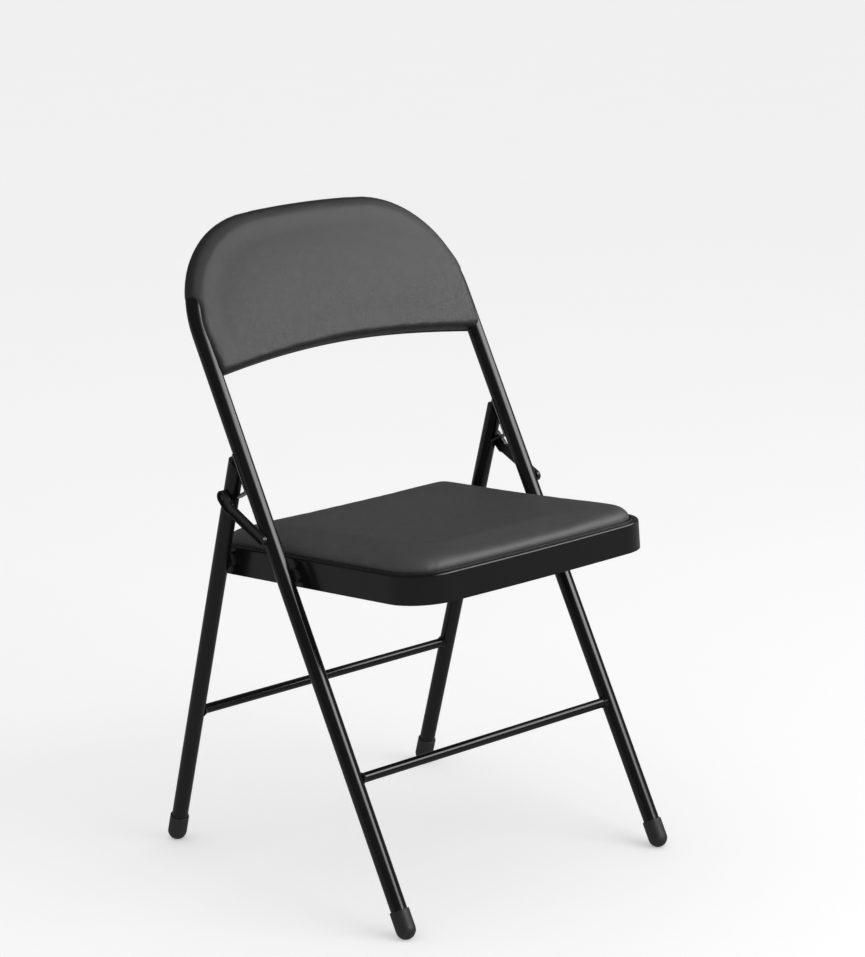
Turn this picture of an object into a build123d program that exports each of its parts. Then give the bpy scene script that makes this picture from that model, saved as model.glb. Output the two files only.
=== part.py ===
from build123d import *
from math import atan2, cos, degrees, hypot, radians, sin, sqrt, tan
import os

# Folding chair: a bent tube makes the front legs and the back, two straight tubes make the
# rear legs, and a pressed steel seat pan hangs between them on four pivots. Millimetres.
# +X is the sitter's left, the chair faces -Y, +Z is up. The origin is on the floor at the
# middle of the chair's footprint, and the chair is modelled open.
#
# Two planes carry the design. The frame plane holds the bent front tube: x across, u up the
# tube from the centre of the foot cap's ball, w forward of it. The side plane is seen from
# the sitter's right: u up the front tube, v behind it, s outward from the chair's middle.

# ---- driving dimensions --------------------------------------------------------------------
tube_radius = 10.0
tube_wall = 1.2
half_track = 206.5  # tube axes to the chair's middle plane
front_lean = 28.4  # front tube from the vertical, degrees
rear_lean = 16.7  # rear leg from the vertical, degrees
front_foot_y = -215.4  # centre of each foot cap's ball
rear_foot_y = 222.6
ball_height = 11.0
tube_start = 1.0  # tube ends, above the centre of the ball

shoulder_u = 734.7  # where the front tube starts to bend inward
shoulder_radius = 130.0
shoulder_turn = 85.7  # degrees, the rest of the turn is the shallow top bow

cap_radius = 11.8
cap_bore = 10.05
cap_top = 23.0  # rim of a foot cap, above the centre of the ball
cap_round = 1.0

brace_radius = 6.0
brace_wall = 1.0
front_brace_height = 168.75
rear_brace_height = 180.0
weld_radius = 8.4
weld_length = 4.5
weld_root = 1.5  # bead's start, inside the leg's inner face
weld_toe = 0.4  # bead's small end, outside the tie tube

# pivots, as heights above the floor on a leg's axis
link_lower_height = 431.1  # on the front tube
link_upper_height = 470.0  # on the rear leg
leg_pivot_height = 383.0  # on the rear leg
folded_gap = 23.0  # rear leg behind the front tube when folded flat, axis to axis

leg_length = 525.0  # from the centre of the ball to the square-cut top
plug_radius = 8.75
plug_depth = 12.0
plug_flange = 1.5

seat_front_y = -234.4  # front of the pan's lower edge, at the middle
seat_front_height = 392.0
seat_tilt = 4.6  # degrees, the rear is the lower end
pan_length = 384.0
pan_half_width = 190.0
pan_height = 35.0
pan_bow = 5.0  # the front edge bows forward
pan_front_corner = 52.0
pan_rear_corner = 28.0
pan_wall = 1.0
pan_top_round = 3.0
pan_hem = 7.0  # lower edge turned inward
pan_rim = 7.0  # width of the rim round the recess
recess_depth = 3.0
seat_crown = 54.0  # top of the cushion above the pan's lower edge
seat_edge = 43.0

back_low_u = 679.0  # backrest's lower edge at its corners
back_low_bow = 18.5  # the lower edge arches up this much at the middle
back_low_x = 198.3
back_side = (207.5, 743.0)  # widest point in front of the tube, x and u
wrap_angle = 15.0  # degrees round the shoulder where the cover goes over the tube
cover_reach = 11.3  # outer face of the cover round the top, from the tube's axis
cushion_reach = 2.0  # thick part of the cushion, past the tube's axis
back_crown = 20.0  # front of the cushion, forward of the frame plane
back_edge = 14.0
rear_cover_face = 12.4
rear_cover_gap = 10.4

strap_radius = 6.5
strap_ear_radius = 8.0
strap_inner = 217.0  # strap's inner face from the middle plane
strap_thickness = 2.0
strap_lip = 5.0
strap_lip_width = 1.6
strap_knee = (-14.7, -4.9)  # from the upper rivet, along u and v

rivet_radius = 3.0
rivet_fit = 0.05  # radial clearance of a running rivet
rivet_head = 5.5
bulb_radius = 4.5  # formed end inside a tube
bulb_seat = 2.7  # bulb's start, in from the tube's outer face
spacer_radius = 9.0

bracket_bore = 10.05
bracket_radius = 11.5
bracket_wrap = 75.0  # degrees each side of straight behind the tube
bracket_low = 539.0
bracket_high = 586.0
mitre_v = 11.8  # the leg's top stays behind this
tab_reach = 36.6
tab_thickness = 2.0
tab_half_width = 6.5

screw_radius = 1.9
screw_head = 4.0
board_half = 2.0  # backrest board's half thickness
board_inset = 11.5  # board's edge inside the tube's axis
board_thickness = 5.0  # seat board
board_margin = 15.0  # seat board's edge inside the pan's side
pad_margin = 11.0  # seat cushion's edge inside the pan's side
welt_radius = 1.6
welt_inset = 9.0
lug_size = (24.0, 18.0)
lug_thickness = 2.5
lug_side_inset = 7.0  # tabs' centres, inside the tube's inner face
lug_top_inset = 9.0
lug_rise = 45.0  # lower tabs, above the backrest's low corners
lug_top_x = 60.0
board_rise = 6.0  # backrest board's low edge, above the cushion's
seat_screw_x = 110.0
seat_screw_t = (90.0, 300.0)  # from the pan's front
screw_head_height = 2.0
screw_bite = 4.0  # seat screws' length in their board
screw_slack = 0.3  # clearance hole round a screw
stud_head_height = 3.0
rivet_depth = 6.0  # rivets reach this far into a tube
lower_dome = 1.6  # heights of the rivets' domes
upper_dome = 1.9
skin = 0.1  # foam stands this far off its board
past = 600.0  # longer than the chair is wide
gap = 0.3  # between bodies that pass each other

# ---- planes and places ---------------------------------------------------------------------
lean_sin, lean_cos = sin(radians(front_lean)), cos(radians(front_lean))
rear_sin, rear_cos = sin(radians(rear_lean)), cos(radians(rear_lean))
tilt_sin, tilt_cos = sin(radians(seat_tilt)), cos(radians(seat_tilt))

frame_plane = Plane((0, front_foot_y, ball_height), x_dir=(1, 0, 0), z_dir=(0, -lean_cos, lean_sin))
side_plane = Plane((0, front_foot_y, ball_height), x_dir=(0, lean_sin, lean_cos), z_dir=(-1, 0, 0))
leg_plane = Plane((0, rear_foot_y, ball_height), x_dir=(0, -rear_sin, rear_cos), z_dir=(-1, 0, 0))
seat_plane = Plane(
    (0, seat_front_y, seat_front_height), x_dir=(1, 0, 0), z_dir=(0, tilt_sin, tilt_cos)
)


def on_side(u, v=0.0, s=half_track):
    """Row position of a point of the side plane, on the sitter's right."""
    return side_plane.from_local_coords((u, v, s))


def front_u(height):
    """Distance up the front tube's axis at a height above the floor."""
    return (height - ball_height) / lean_cos


def leg_uv(height):
    """Point of the rear leg's axis at a height, in the side plane."""
    back = rear_foot_y - (height - ball_height) * tan(radians(rear_lean)) - front_foot_y
    up = height - ball_height
    return back * lean_sin + up * lean_cos, back * lean_cos - up * lean_sin


# ---- the folding linkage -------------------------------------------------------------------
# Four pivots on each side: the pan on the front tube, the rear leg on the pan, and a strap
# from the front tube to the leg. The pan's pivot sits where the folded leg ends up parallel
# to the front tube, folded_gap behind it.
link_lower = (front_u(link_lower_height), 0.0)
link_upper = leg_uv(link_upper_height)
leg_pivot = leg_uv(leg_pivot_height)
strap_span = hypot(link_upper[0] - link_lower[0], link_upper[1] - link_lower[1])
leg_span = hypot(link_upper[0] - leg_pivot[0], link_upper[1] - leg_pivot[1])
folded_upper_u = link_lower[0] - sqrt(strap_span**2 - folded_gap**2)
folded_pivot_u = folded_upper_u - leg_span
seat_pivot = (
    (folded_pivot_u**2 + folded_gap**2 - leg_pivot[0] ** 2 - leg_pivot[1] ** 2)
    / (2 * (folded_pivot_u - leg_pivot[0])),
    0.0,
)


def bearing(start, end):
    """Direction from one point of the side plane to another, in degrees."""
    return degrees(atan2(end[1] - start[1], end[0] - start[0]))


seat_turn = bearing(seat_pivot, (folded_pivot_u, folded_gap)) - bearing(seat_pivot, leg_pivot)
strap_turn = bearing(link_lower, (folded_upper_u, folded_gap)) - bearing(link_lower, link_upper)
leg_turn = seat_turn + bearing(leg_pivot, link_upper)


# ---- shared shapes -------------------------------------------------------------------------
def rod(start, end, radius):
    """A solid round bar between two points."""
    axis = Vector(*end) - Vector(*start)
    return extrude(Plane(origin=start, z_dir=axis) * Circle(radius), axis.length)


def cross_pin(point, inner, outer, radius):
    """A round bar across the chair through a side-plane point, between two offsets s."""
    return rod(on_side(*point, inner), on_side(*point, outer), radius)


def dome(point, start, height, radius):
    """A low rounded rivet head that starts at the offset s and grows outward."""
    ball = (radius**2 + height**2) / (2 * height)
    centre = on_side(*point, start + height - ball)
    return (Pos(*centre) * Sphere(ball)) & cross_pin(point, start, start + height + 1, radius)


def side_bar(start, end, radius, inner, outer):
    """A round-ended flat bar between two side-plane points, from offset inner to outer."""
    middle = ((start[0] + end[0]) / 2, (start[1] + end[1]) / 2)
    length = hypot(end[0] - start[0], end[1] - start[1])
    flat = Pos(*middle) * Rot(0, 0, bearing(start, end)) * SlotOverall(length + 2 * radius, 2 * radius)
    return extrude(side_plane.offset(inner) * flat, outer - inner)


def both_sides(name, shape):
    """The sitter's right piece and its mirror image, by node name."""
    return {f"{name}_right": shape, f"{name}_left": mirror(shape, about=Plane.YZ)}


# ---- front frame ---------------------------------------------------------------------------
bow_radius = (half_track - shoulder_radius + shoulder_radius * cos(radians(shoulder_turn))) / cos(
    radians(shoulder_turn)
)
shoulder_x = half_track - shoulder_radius
bow_centre_u = shoulder_u - (bow_radius - shoulder_radius) * sin(radians(shoulder_turn))
arch_top_u = bow_centre_u + bow_radius


def on_shoulder(angle, offset=0.0, side=1):
    """Point of the shoulder bend, an angle up from its start, moved outward by offset."""
    reach = shoulder_radius + offset
    return side * (shoulder_x + reach * cos(radians(angle))), shoulder_u + reach * sin(radians(angle))


def over_the_top(offset, first_angle=0.0):
    """Edges along the arch from the right shoulder to the left one, moved outward."""
    middle = (first_angle + shoulder_turn) / 2
    right = [on_shoulder(a, offset, -1) for a in (first_angle, middle, shoulder_turn)]
    left = [(-x, u) for x, u in reversed(right)]
    return [
        ThreePointArc(*right),
        ThreePointArc(right[2], (0, arch_top_u + offset), left[0]),
        ThreePointArc(*left),
    ]


def arch_sweep(radius):
    """A round bar along the whole front tube."""
    low = tube_start
    path = Curve() + [
        Line((-half_track, low), (-half_track, shoulder_u)),
        *over_the_top(0.0),
        Line((half_track, shoulder_u), (half_track, low)),
    ]
    start = Plane((-half_track, low, 0), z_dir=(0, 1, 0))
    return sweep(start * Circle(radius), path=Wire(path.edges()))


def arch_panel(offset, low, bow):
    """Face inside the arch moved outward by offset, closed below by a bowed edge."""
    side = half_track + offset
    edges = [
        Line((-side, low), (-side, shoulder_u)),
        *over_the_top(offset),
        Line((side, shoulder_u), (side, low)),
        ThreePointArc((side, low), (0, low + bow), (-side, low)),
    ]
    return make_face(Curve() + edges)


def back_panel(reach):
    """Outline of the upholstered back: its top follows the arch, moved outward by reach."""
    side_x, side_u = back_side
    wrap = on_shoulder(wrap_angle, reach)
    edges = [
        ThreePointArc((back_low_x, back_low_u), (0, back_low_u + back_low_bow), (-back_low_x, back_low_u)),
        Polyline((-back_low_x, back_low_u), (-side_x, side_u), (-wrap[0], wrap[1])),
        *over_the_top(reach, wrap_angle),
        Polyline(wrap, (side_x, side_u), (back_low_x, back_low_u)),
    ]
    return make_face(Curve() + edges)


def lug_places():
    """Centres of the four tabs that hold the backrest's board, in the frame plane."""
    side, top = half_track - tube_radius - lug_side_inset, arch_top_u - tube_radius - lug_top_inset
    low = back_low_u + lug_rise
    return [(-side, low, 0), (side, low, 0), (-lug_top_x, top, 90), (lug_top_x, top, 90)]


solid_arch = arch_sweep(tube_radius)
clear_arch = arch_sweep(tube_radius + gap)


def frame_tube():
    """The bent tube of the front legs and the back, with its rivet holes."""
    tube = frame_plane * (solid_arch - arch_sweep(tube_radius - tube_wall))
    for hole in (
        cross_pin(seat_pivot, half_track - tube_radius - 2, half_track, rivet_radius + rivet_fit),
        cross_pin(link_lower, half_track, half_track + tube_radius + 2, rivet_radius + rivet_fit),
    ):
        tube -= hole
        tube -= mirror(hole, about=Plane.YZ)
    return tube


def brace(height, axis_y):
    """A straight tie tube between two legs, long enough to be cut against their tubes."""
    ends = (1 - half_track, axis_y, height), (half_track - 1, axis_y, height)
    return rod(*ends, brace_radius) - rod(*ends, brace_radius - brace_wall)


def weld_beads(height, axis_y):
    """A weld bead round each end of a tie bar."""
    root = half_track - tube_radius + weld_root
    start = Plane((root, axis_y, height), z_dir=(-1, 0, 0))
    bead = loft([start * Circle(weld_radius), start.offset(weld_length) * Circle(brace_radius + weld_toe)])
    bead -= rod((root - 2 * weld_length, axis_y, height), (root + weld_length, axis_y, height), brace_radius)
    return bead, mirror(bead, about=Plane.YZ)


def foot_cap(plane):
    """A moulded cup on a tube's end: a ball below, with a flat where it stands."""
    axis = plane.x_dir
    centre = plane.from_local_coords((0, 0, half_track))
    rim = centre + axis * cap_top
    cup = rod(centre, rim, cap_radius)
    cup = fillet(cup.edges().filter_by(GeomType.CIRCLE).sort_by_distance(rim)[0], cap_round)
    cup += Pos(*centre) * Sphere(cap_radius)
    cup -= rod(centre + axis * tube_start, rim + axis, cap_bore)
    slab = 2 * cap_radius
    floor = Pos(*centre) * Pos(0, 0, -ball_height - slab / 2) * Box(2 * slab, 2 * slab, slab)
    return cup - floor


def stop_bracket():
    """A pressed saddle behind the front tube; its lower tab stops the rear leg."""
    low, high = on_side(bracket_low), on_side(bracket_high)
    bore = rod(low - side_plane.x_dir, high + side_plane.x_dir, bracket_bore)
    wide = 3 * bracket_radius * sin(radians(bracket_wrap))
    deep = 3 * bracket_radius * cos(radians(bracket_wrap))
    wedge = Polyline((0, 0), (wide, deep), (wide, wide), (-wide, wide), (-wide, deep), (0, 0))
    behind = Plane(low, x_dir=(1, 0, 0), z_dir=side_plane.x_dir)
    saddle = rod(low, high, bracket_radius) & extrude(behind * make_face(wedge), bracket_high - bracket_low)
    tab = Box(tab_thickness, tab_reach - bracket_bore / 2, 2 * tab_half_width)
    middle = (bracket_low + tab_thickness / 2, (bracket_bore / 2 + tab_reach) / 2, half_track)
    return saddle + side_plane * Pos(*middle) * tab - bore


def backrest_lugs():
    """Four tabs welded inside the arch, behind the board, drilled for its screws."""
    lugs = []
    for x, u, turn in lug_places():
        tab = Pos(x, u, -lug_thickness / 2 - board_half) * Rot(0, 0, turn) * Box(*lug_size, lug_thickness)
        drill = Pos(x, u, -board_half) * Cylinder(screw_radius + screw_slack, 3 * lug_thickness)
        lugs.append(tab - solid_arch - drill)
    return frame_plane * Compound(children=[solid for lug in lugs for solid in lug.solids()])


def backrest_board():
    """Plywood panel inside the arch, which the cushion is upholstered on."""
    board = extrude(arch_panel(-board_inset, back_low_u + board_rise, back_low_bow), board_half, both=True)
    for x, u, _ in lug_places():
        board -= Pos(x, u, -board_half / 4) * Cylinder(screw_radius, 1.5 * board_half)
    return frame_plane * board


def backrest_screws():
    """Pan-head screws through the tabs into the board."""
    screws = []
    for x, u, _ in lug_places():
        under = -board_half - lug_thickness
        shank = Pos(x, u, (under + board_half / 2) / 2) * Cylinder(screw_radius, board_half / 2 - under)
        head = Pos(x, u, under - screw_head_height / 2) * Cylinder(screw_head, screw_head_height)
        screws.append(shank + head)
    return frame_plane * Compound(children=[solid for screw in screws for solid in screw.solids()])


def backrest_pad():
    """Foam and vinyl: a shallow crowned cushion whose cover wraps over the top of the arch."""
    front = extrude(Pos(0, 0, board_half + skin) * back_panel(cushion_reach), back_crown)
    rise = back_crown - back_edge
    crown_radius = (half_track**2 + rise**2) / (2 * rise)
    crown = Pos(0, shoulder_u, back_crown - crown_radius) * Rot(90, 0, 0)
    front &= crown * Cylinder(crown_radius, past)
    wrap_u = on_shoulder(wrap_angle, cover_reach)[1]
    over = arch_sweep(cover_reach) & (Pos(0, wrap_u + past / 2, 0) * Box(past, past, past))
    over -= extrude(Pos(0, 0, -past) * arch_panel(0.0, back_low_u, back_low_bow), past + board_half + skin)
    return frame_plane * largest(front + over - clear_arch)


def backrest_rear_cover():
    """Vinyl-covered hardboard that closes the back behind the tube."""
    plate = extrude(Pos(0, 0, -rear_cover_face) * back_panel(-gap), rear_cover_face - rear_cover_gap)
    return frame_plane * plate


def largest(shape):
    """The biggest solid of a shape, without any sliver that a cut leaves beside it."""
    return Part() + shape.solids().sort_by(SortBy.VOLUME)[-1]


# ---- pivots and straps ---------------------------------------------------------------------
def pivot_stud(point):
    """A shouldered rivet from inside the pan into a tube's inner wall."""
    pan_inner = pan_half_width - pan_wall
    tube_inner = half_track - tube_radius
    head = pan_inner - gap
    stud = cross_pin(point, head - stud_head_height, head, rivet_head)
    stud += cross_pin(point, head - stud_head_height / 2, tube_inner + rivet_depth, rivet_radius)
    return stud + cross_pin(point, tube_inner + bulb_seat, tube_inner + rivet_depth, bulb_radius)


def pivot_spacer(point):
    """A nylon washer that keeps the pan clear of a tube."""
    outer = half_track - tube_radius - gap
    ring = cross_pin(point, pan_half_width, outer, spacer_radius)
    return ring - cross_pin(point, pan_half_width - 1, outer + 1, rivet_radius + rivet_fit)


def strap():
    """A pressed dog-leg strap with a raised lip along both edges."""
    knee = (link_upper[0] + strap_knee[0], link_upper[1] + strap_knee[1])
    outer = strap_inner + strap_thickness
    ear = (link_upper, knee, strap_ear_radius)
    arm = (knee, link_lower, strap_radius)
    plate = side_bar(*ear, strap_inner, outer) + side_bar(*arm, strap_inner, outer)
    rim = side_bar(*ear, outer, outer + strap_lip - strap_thickness)
    rim += side_bar(*arm, outer, outer + strap_lip - strap_thickness)
    top = outer + strap_lip
    rim -= side_bar(link_upper, knee, strap_ear_radius - strap_lip_width, outer, top)
    rim -= side_bar(knee, link_lower, strap_radius - strap_lip_width, outer, top)
    plate += rim
    plate -= cross_pin(link_upper, strap_inner - 1, outer + 1, rivet_radius + rivet_fit)
    return plate - cross_pin(link_lower, strap_inner - 1, outer + 1, rivet_radius + rivet_fit)


def link_lower_rivet():
    """Rivet fixed in the front tube's outer wall; the strap turns on it."""
    outer = strap_inner + strap_thickness + gap
    tube_outer = half_track + tube_radius
    rivet = cross_pin(link_lower, tube_outer - rivet_depth, outer, rivet_radius)
    rivet += cross_pin(link_lower, tube_outer - rivet_depth, tube_outer - bulb_seat, bulb_radius)
    return rivet + dome(link_lower, outer, lower_dome, strap_radius - strap_lip_width - gap)


def link_upper_rivet():
    """Rivet fixed in the strap's upper ear; it stops short of the rear leg."""
    outer = strap_inner + strap_thickness
    rivet = cross_pin(link_upper, half_track + tube_radius + gap, outer, rivet_radius)
    return rivet + dome(link_upper, outer, upper_dome, rivet_head)


# ---- rear legs -----------------------------------------------------------------------------
def on_leg(up):
    """Row position of a point of the rear leg's axis, up from the centre of the foot's ball."""
    return leg_plane.from_local_coords((up, 0, half_track))


def mitre():
    """The space kept free for the front tube and its bracket at the leg's top."""
    reach = 8 * tube_radius
    block = Pos(bracket_low, mitre_v - reach / 2, half_track) * Box(3 * reach, reach, 4 * tube_radius)
    return side_plane * block


def rear_leg():
    """A straight tube with a square-cut top, mitred where it meets the front tube."""
    low, high = on_leg(tube_start), on_leg(leg_length)
    leg = rod(low, high, tube_radius) - rod(low, high, tube_radius - tube_wall)
    leg -= cross_pin(leg_pivot, half_track - tube_radius - 2, half_track, rivet_radius + rivet_fit)
    return leg - mitre()


def leg_top_plug():
    """Plastic plug pressed into the leg's top."""
    plug = rod(on_leg(leg_length - plug_depth), on_leg(leg_length), plug_radius)
    plug += rod(on_leg(leg_length), on_leg(leg_length + plug_flange), tube_radius)
    return plug - mitre()


# ---- seat ----------------------------------------------------------------------------------
def seat_outline(inset):
    """Rounded outline of the pan, inset from its side, seen from above the seat."""
    side, front, rear = pan_half_width - inset, pan_bow + inset, pan_length - inset
    edges = [
        ThreePointArc((-side, front), (0, inset), (side, front)),
        Polyline((side, front), (side, rear), (-side, rear), (-side, front)),
    ]
    face = make_face(Curve() + edges)
    face = fillet(face.vertices().group_by(Axis.Y)[-1], pan_rear_corner - inset)
    front_corners = [v for v in face.vertices() if v.Y < front + 1]
    return fillet(front_corners, pan_front_corner - inset)


def seat_layer(inset, low, high):
    """The seat's outline as a slab between two heights above the pan's lower edge."""
    return extrude(Pos(0, 0, low) * seat_outline(inset), high - low)


def seat_screw_places():
    """Screws that hold the upholstered board, as x and distance from the pan's front."""
    return [(x, t) for x in (-seat_screw_x, seat_screw_x) for t in seat_screw_t]


def seat_pan():
    """Pressed steel tray, open below, with a rim round the recess for the cushion."""
    plate = pan_height - recess_depth - pan_wall
    shell = seat_layer(0, 0, pan_height)
    shell = fillet(shell.edges().group_by(Axis.Z)[-1], pan_top_round)
    shell -= seat_layer(pan_rim, pan_height - recess_depth, pan_height)
    shell -= seat_layer(pan_hem, 0, pan_wall) + seat_layer(pan_wall, pan_wall, plate)
    channel = seat_layer(pan_wall, plate, pan_height - pan_wall)
    channel = fillet(channel.edges().group_by(Axis.Z)[-1], pan_top_round - pan_wall)
    shell -= channel - seat_layer(pan_rim - pan_wall, plate, pan_height)
    for x, t in seat_screw_places():
        shell -= Pos(x, t, plate) * Cylinder(screw_radius + screw_slack, 4 * pan_wall)
    pan = seat_plane * shell
    for point in (seat_pivot, leg_pivot):
        hole = cross_pin(point, pan_half_width - 3, pan_half_width + 1, rivet_radius + rivet_fit)
        pan = pan - hole - mirror(hole, about=Plane.YZ)
    return pan


def seat_board():
    """Plywood panel under the cushion, screwed down on the pan."""
    floor = pan_height - recess_depth
    board = seat_layer(board_margin, floor, floor + board_thickness)
    for x, t in seat_screw_places():
        board -= Pos(x, t, floor) * Cylinder(screw_radius, 2 * screw_bite)
    return seat_plane * board


def seat_screws():
    """Screws from below, through the pan into the board."""
    screws = []
    for x, t in seat_screw_places():
        under = pan_height - recess_depth - pan_wall
        length = pan_wall + screw_bite
        shank = Pos(x, t, under + length / 2) * Cylinder(screw_radius, length)
        head = Pos(x, t, under - screw_head_height / 2) * Cylinder(screw_head, screw_head_height)
        screws.append(shank + head)
    return seat_plane * Compound(children=[solid for screw in screws for solid in screw.solids()])


def seat_pad():
    """Foam and vinyl cushion over the board, crowned both ways."""
    floor = pan_height - recess_depth
    pad = seat_layer(pad_margin, floor + skin, seat_crown)
    rise = seat_crown - seat_edge
    for half, turn in ((pan_half_width, (90, 0, 0)), (pan_length / 2, (0, 90, 0))):
        radius = (half**2 + rise**2) / (2 * rise)
        pad &= Pos(0, pan_length / 2, seat_crown - radius) * Rot(*turn) * Cylinder(radius, past)
    return seat_plane * (pad - seat_layer(board_margin - gap, 0, floor + board_thickness + gap))


def seat_welt():
    """Vinyl-covered cord that closes the gap between the cushion and the rim."""
    path = Pos(0, 0, pan_height - recess_depth + welt_radius + 2 * skin) * seat_outline(welt_inset)
    wire = path.faces()[0].outer_wire()
    return seat_plane * sweep(Plane(wire @ 0, z_dir=wire % 0) * Circle(welt_radius), path=wire)


# ---- write one file for each piece ---------------------------------------------------------
front_brace_y = front_foot_y + (front_brace_height - ball_height) * tan(radians(front_lean))
rear_brace_y = rear_foot_y - (rear_brace_height - ball_height) * tan(radians(rear_lean))
tubes = {
    "front": frame_plane * solid_arch,
    "rear": rod(on_leg(0), on_leg(leg_length), tube_radius),
}
tubes["rear"] += mirror(tubes["rear"], about=Plane.YZ)


def pieces():
    """Every piece of the chair, by node name."""
    parts = {
        "frame_tube": frame_tube(),
        "front_brace": brace(front_brace_height, front_brace_y) - tubes["front"],
        "front_brace_welds": Part() + [w - tubes["front"] for w in weld_beads(front_brace_height, front_brace_y)],
        "backrest_lugs": backrest_lugs(),
        "backrest_board": backrest_board(),
        "backrest_screws": backrest_screws(),
        "backrest_pad": backrest_pad(),
        "backrest_rear_cover": backrest_rear_cover(),
        "seat_pan": seat_pan(),
        "seat_board": seat_board(),
        "seat_screws": seat_screws(),
        "seat_pad": seat_pad(),
        "seat_welt": seat_welt(),
        "rear_brace": brace(rear_brace_height, rear_brace_y) - tubes["rear"],
        "rear_brace_welds": Part() + [w - tubes["rear"] for w in weld_beads(rear_brace_height, rear_brace_y)],
    }
    parts |= both_sides("front_foot_cap", foot_cap(side_plane))
    parts |= both_sides("rear_foot_cap", foot_cap(leg_plane))
    parts |= both_sides("stop_bracket", stop_bracket())
    parts |= both_sides("seat_pivot_stud", pivot_stud(seat_pivot))
    parts |= both_sides("leg_pivot_stud", pivot_stud(leg_pivot))
    parts |= both_sides("seat_pivot_spacer", pivot_spacer(seat_pivot))
    parts |= both_sides("leg_pivot_spacer", pivot_spacer(leg_pivot))
    parts |= both_sides("rear_leg", rear_leg())
    parts |= both_sides("leg_top_plug", leg_top_plug())
    parts |= both_sides("link_strap", strap())
    parts |= both_sides("link_lower_rivet", link_lower_rivet())
    parts |= both_sides("link_upper_rivet", link_upper_rivet())
    return parts


os.makedirs("parts", exist_ok=True)
for name, shape in pieces().items():
    export_step(shape, f"parts/{name}.step")

for name, point in {
    "seat_fold": seat_pivot,
    "leg_swing": leg_pivot,
    "link_swing": link_lower,
    "open pivot": link_upper,
}.items():
    place = on_side(*point)
    print(f"{name}: y {place.Y:.3f}, z {place.Z:.3f} mm")
print(f"seat turns {seat_turn:.3f}, leg {leg_turn:.3f}, strap {strap_turn:.3f} degrees")
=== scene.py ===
"""Folding chair: the looks of a steel tube chair with vinyl cushions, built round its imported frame.

Lengths are in metres in the row frame: the chair faces -Y, +Z is up and +X is the sitter's left.
The upholstered back is modelled in the arch's own plane: x across, y (or u) up the front tube from
the centre of the foot cap's ball, z (or w) forward of the tube's axis. The seat's cushion is
modelled on the pan: x across, y back from the pan's front edge, z up from the pan's lower edge.
"""
import logging
import math
from dataclasses import dataclass, field
from enum import Enum
from typing import Callable, Iterable, TypeAlias

import bmesh
import bpy
from mathutils import Matrix, Vector, noise


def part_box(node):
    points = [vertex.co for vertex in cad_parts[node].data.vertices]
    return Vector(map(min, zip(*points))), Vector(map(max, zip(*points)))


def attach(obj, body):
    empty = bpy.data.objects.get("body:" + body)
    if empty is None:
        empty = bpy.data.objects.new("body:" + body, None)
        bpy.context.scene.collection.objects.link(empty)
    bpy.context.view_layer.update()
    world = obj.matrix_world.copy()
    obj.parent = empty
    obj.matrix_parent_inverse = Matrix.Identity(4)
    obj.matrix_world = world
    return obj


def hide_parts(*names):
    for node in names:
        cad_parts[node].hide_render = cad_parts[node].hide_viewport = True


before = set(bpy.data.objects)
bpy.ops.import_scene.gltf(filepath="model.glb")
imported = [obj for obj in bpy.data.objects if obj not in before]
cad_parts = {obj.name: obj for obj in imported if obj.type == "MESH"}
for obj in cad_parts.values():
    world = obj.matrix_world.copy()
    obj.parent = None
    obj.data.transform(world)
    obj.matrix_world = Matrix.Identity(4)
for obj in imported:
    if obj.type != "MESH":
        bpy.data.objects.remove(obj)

LOG = logging.getLogger("folding_chair")
MM = 0.001
Socket: TypeAlias = bpy.types.NodeSocket
Colour: TypeAlias = tuple[float, float, float]
WHITE = (1.0, 1.0, 1.0, 1.0)
NOISE_RANGE = (0.3, 0.7)  # most of a noise pattern's values lie between these two


class Body(Enum):
    """The rigid bodies that carry new pieces."""

    FRAME = "front_frame"
    SEAT = "seat"


class Slot(Enum):
    """The record's material slots of the new pieces."""

    BACK_VINYL = "back_vinyl"
    SEAT_VINYL = "seat_vinyl"


# ---- finishes --------------------------------------------------------------------------------


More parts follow.
